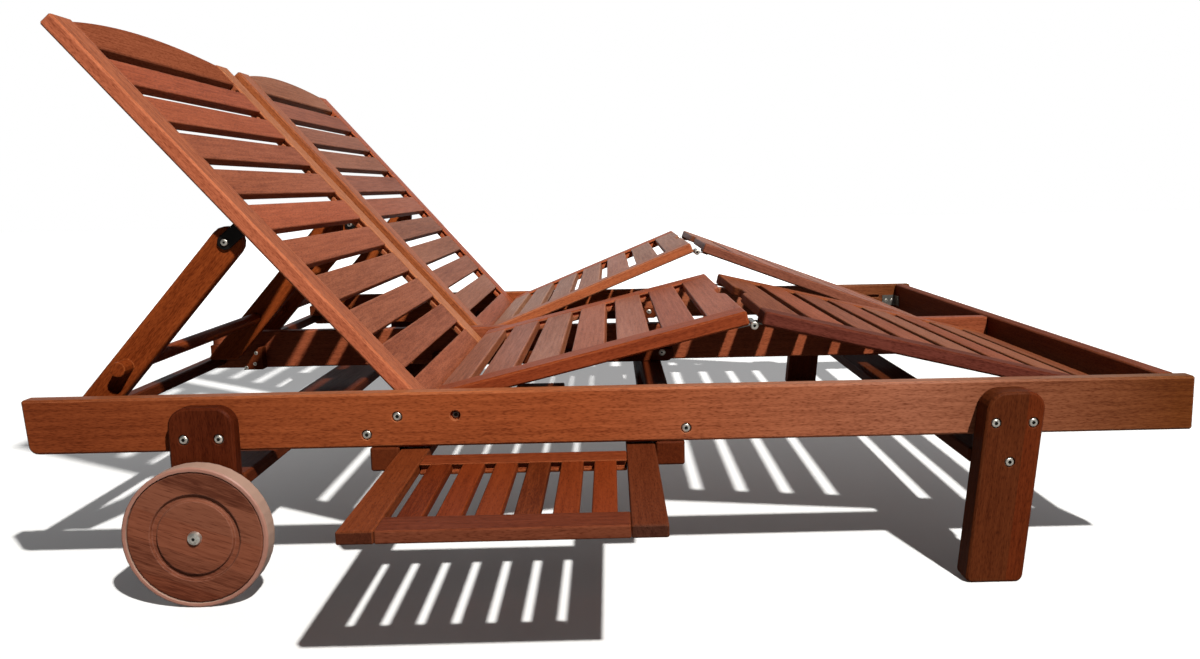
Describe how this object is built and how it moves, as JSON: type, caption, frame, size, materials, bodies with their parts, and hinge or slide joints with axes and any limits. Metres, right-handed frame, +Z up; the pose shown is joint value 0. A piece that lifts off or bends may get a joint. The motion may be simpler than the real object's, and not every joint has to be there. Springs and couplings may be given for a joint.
{
  "type": "double sun lounger",
  "caption": "Slatted wooden sun lounger for two, with separate lifting backs on folding props, adjustable knee rests, wheels at the head end and a slide-out side tray.",
  "frame": {"origin": "on the floor under the middle of the lounger's box at rest, tray pulled out", "axes": "+X from the head end to the foot end, +Y from the tray side across the width, +Z up"},
  "size_m": [1.75, 1.7316, 0.8731],
  "materials": {
    "wood": "reddish-brown oiled hardwood, satin",
    "wood_slat": "reddish-brown oiled hardwood, a little greyer on top",
    "wood_dark": "dark brown oiled hardwood, satin",
    "tyre": "pinkish tan, matt",
    "steel": "stainless"
  },
  "bodies": {
    "frame": {"side_rail_near": "wood", "side_rail_far": "wood", "centre_rail": "wood", "foot_board": "wood", "head_bar_near": "wood_dark", "head_bar_far": "wood_dark", "front_leg_near": "wood_dark", "front_leg_far": "wood_dark", "wheel_leg_near": "wood_dark", "wheel_leg_far": "wood_dark", "front_stretcher": "wood_dark", "wheel_stretcher": "wood_dark", "tray_runner_head": "wood_dark", "tray_runner_foot": "wood_dark", "runner_carrier_near": "wood_dark", "runner_carrier_centre_near": "wood_dark", "runner_carrier_centre_far": "wood_dark", "runner_carrier_far": "wood_dark", "prop_cleat_near": "wood_dark", "prop_cleat_centre_near": "wood_dark", "prop_cleat_centre_far": "wood_dark", "prop_cleat_far": "wood_dark", "corner_bracket_near": "steel", "corner_bracket_far": "steel", "axle_near": "steel", "axle_far": "steel"},
    "wheel_near": {"wheel_disc_near": "wood", "wheel_tyre_near": "tyre"},
    "backrest_near": {"backrest_slats_near": "wood_slat", "backrest_stile_near": "wood", "backrest_crest_near": "wood_slat"},
    "prop_near": {"prop_arm_outer_near": "wood", "prop_arm_inner_near": "wood"},
    "thigh_near": {"thigh_slats_near": "wood_slat", "thigh_stile_near": "wood", "knee_leaf_thigh_outer_near": "steel", "knee_leaf_thigh_inner_near": "steel"},
    "calf_near": {"calf_slats_near": "wood_slat", "calf_stile_near": "wood", "knee_leaf_calf_outer_near": "steel", "knee_leaf_calf_inner_near": "steel"},
    "wheel_far": {"wheel_disc_far": "wood", "wheel_tyre_far": "tyre"},
    "backrest_far": {"backrest_slats_far": "wood_slat", "backrest_stile_far": "wood", "backrest_crest_far": "wood_slat"},
    "prop_far": {"prop_arm_outer_far": "wood", "prop_arm_inner_far": "wood"},
    "thigh_far": {"thigh_slats_far": "wood_slat", "thigh_stile_far": "wood", "knee_leaf_thigh_outer_far": "steel", "knee_leaf_thigh_inner_far": "steel"},
    "calf_far": {"calf_slats_far": "wood_slat", "calf_stile_far": "wood", "knee_leaf_calf_outer_far": "steel", "knee_leaf_calf_inner_far": "steel"},
    "tray": {"tray_slats": "wood_slat", "tray_stile_head": "wood", "tray_stile_foot": "wood", "tray_tail": "wood_dark"}
  },
  "joints": [
    {"name": "wheel_near_spin", "type": "hinge", "parent": "frame", "child": "wheel_near", "pos_m": [-0.608, -0.58425, 0.1055], "axis": [0, 1, 0], "continuous": true},
    {"name": "backrest_near_tilt", "type": "hinge", "parent": "frame", "child": "backrest_near", "pos_m": [-0.3225, -0.20475, 0.264], "axis": [0, 1, 0], "range_deg": [-42.9, 8]},
    {"name": "prop_near_fold", "type": "hinge", "parent": "backrest_near", "child": "prop_near", "pos_m": [-0.58308, -0.20475, 0.52437], "axis": [0, 1, 0], "range_deg": [-18.66, 97.9]},
    {"name": "thigh_near_lift", "type": "hinge", "parent": "frame", "child": "thigh_near", "pos_m": [-0.2362, -0.20475, 0.264], "axis": [0, -1, 0], "range_deg": [-13.65, 12.35]},
    {"name": "calf_near_fold", "type": "hinge", "parent": "thigh_near", "child": "calf_near", "pos_m": [0.21596, -0.20475, 0.38473], "axis": [0, -1, 0], "range_deg": [-23.31, 25.71]},
    {"name": "wheel_far_spin", "type": "hinge", "parent": "frame", "child": "wheel_far", "pos_m": [-0.608, 0.84675, 0.1055], "axis": [0, 1, 0], "continuous": true},
    {"name": "backrest_far_tilt", "type": "hinge", "parent": "frame", "child": "backrest_far", "pos_m": [-0.3225, 0.46725, 0.264], "axis": [0, 1, 0], "range_deg": [-42.9, 8]},
    {"name": "prop_far_fold", "type": "hinge", "parent": "backrest_far", "child": "prop_far", "pos_m": [-0.58308, 0.46725, 0.52437], "axis": [0, 1, 0], "range_deg": [-18.66, 97.9]},
    {"name": "thigh_far_lift", "type": "hinge", "parent": "frame", "child": "thigh_far", "pos_m": [-0.2362, 0.46725, 0.264], "axis": [0, -1, 0], "range_deg": [-22, 4]},
    {"name": "calf_far_fold", "type": "hinge", "parent": "thigh_far", "child": "calf_far", "pos_m": [0.19363, 0.46725, 0.44911], "axis": [0, -1, 0], "range_deg": [-7.89, 41.13]},
    {"name": "tray_slide", "type": "slide", "parent": "frame", "child": "tray", "axis": [0, 1, 0], "range_m": [0, 0.3]}
  ],
  "couplings": [
    {"joint": "prop_near_fold", "follows": "backrest_near_tilt", "ratio": -2.2704},
    {"joint": "calf_near_fold", "follows": "thigh_near_lift", "ratio": -1.8466},
    {"joint": "prop_far_fold", "follows": "backrest_far_tilt", "ratio": -2.2704},
    {"joint": "calf_far_fold", "follows": "thigh_far_lift", "ratio": -1.8466}
  ]
}
